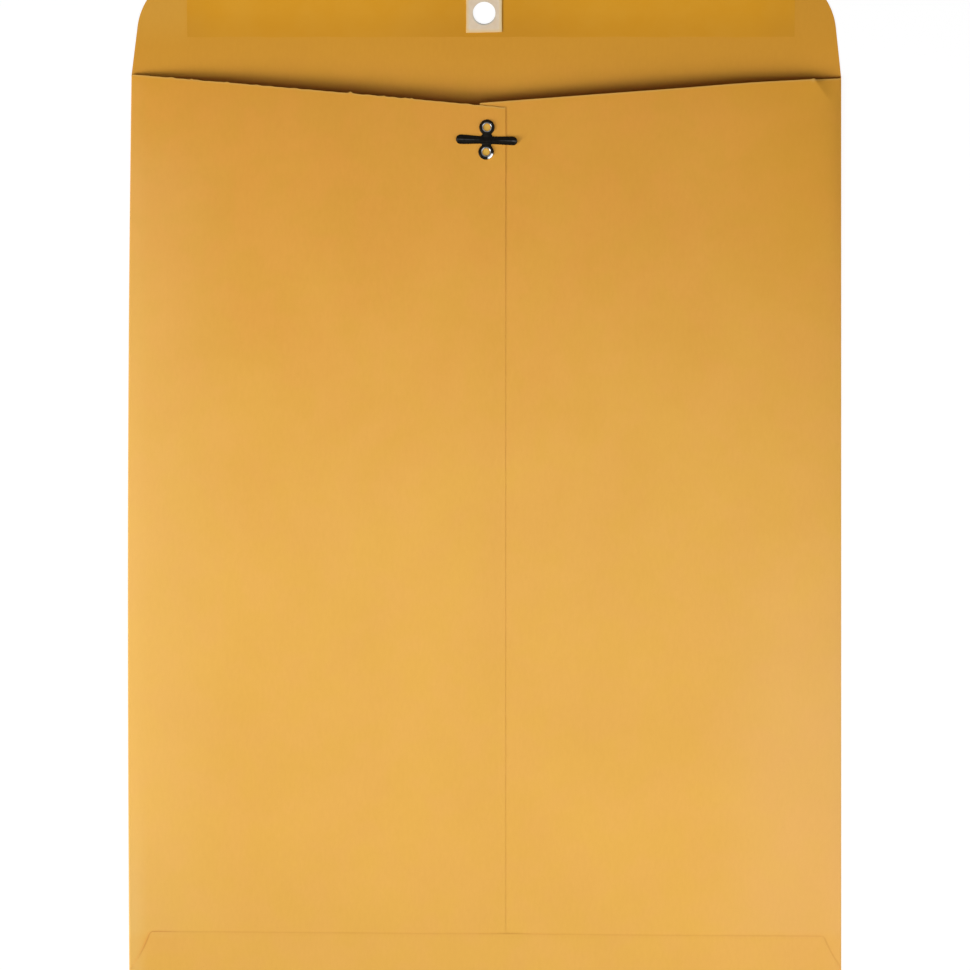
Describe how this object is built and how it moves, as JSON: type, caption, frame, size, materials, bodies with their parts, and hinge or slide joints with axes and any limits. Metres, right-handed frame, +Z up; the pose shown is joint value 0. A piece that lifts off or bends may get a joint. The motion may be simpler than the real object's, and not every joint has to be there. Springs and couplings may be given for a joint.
{
  "type": "clasp envelope",
  "caption": "Kraft clasp envelope with its flap open: a flat pocket with a centre seam, a folding flap with gum and a patched hole, and a metal clasp with two bending prongs.",
  "frame": {"origin": "under the middle of the whole outline, on the surface that the envelope lies on", "axes": "+X right and +Y from the bottom fold to the open flap's tip, seen from the clasp side; +Z up, away from the address face"},
  "size_m": [0.254, 0.3682, 0.0066],
  "materials": {
    "kraft_sheet": "matt brown kraft paper with a fine fibre",
    "kraft_flap": "matt brown kraft paper, inner face",
    "glue_film": "dried adhesive film",
    "dry_gum": "dry remoistenable gum, slightly glossy",
    "hole_patch": "translucent whitish reinforcing patch",
    "clasp_metal": "dark glossy plated steel"
  },
  "bodies": {
    "pocket": {"front_panel": "kraft_sheet", "left_side_fold": "kraft_sheet", "right_side_fold": "kraft_sheet", "bottom_fold": "kraft_sheet", "left_back_panel": "kraft_sheet", "right_back_panel": "kraft_sheet", "seam_glue": "glue_film", "bottom_flap": "kraft_sheet", "bottom_flap_glue": "glue_film", "top_fold_crease": "kraft_flap", "clasp_base": "clasp_metal", "upper_eyelet": "clasp_metal", "lower_eyelet": "clasp_metal"},
    "flap": {"closure_flap": "kraft_flap", "flap_gum_band": "dry_gum", "flap_patch": "hole_patch"},
    "left_prong": {"left_prong": "clasp_metal"},
    "right_prong": {"right_prong": "clasp_metal"}
  },
  "joints": [
    {"name": "flap_fold", "type": "hinge", "parent": "pocket", "child": "flap", "pos_m": [0, 0.14605, 0.0036], "axis": [1, 0, 0], "range_deg": [0, 180], "deforming": ["top_fold_crease"]},
    {"name": "left_prong_bend", "type": "hinge", "parent": "pocket", "child": "left_prong", "pos_m": [-0.0012, 0.12345, 0.0066], "axis": [0, 1, 0], "range_deg": [0, 90]},
    {"name": "right_prong_bend", "type": "hinge", "parent": "pocket", "child": "right_prong", "pos_m": [0.002, 0.12345, 0.0066], "axis": [0, -1, 0], "range_deg": [0, 90]}
  ]
}
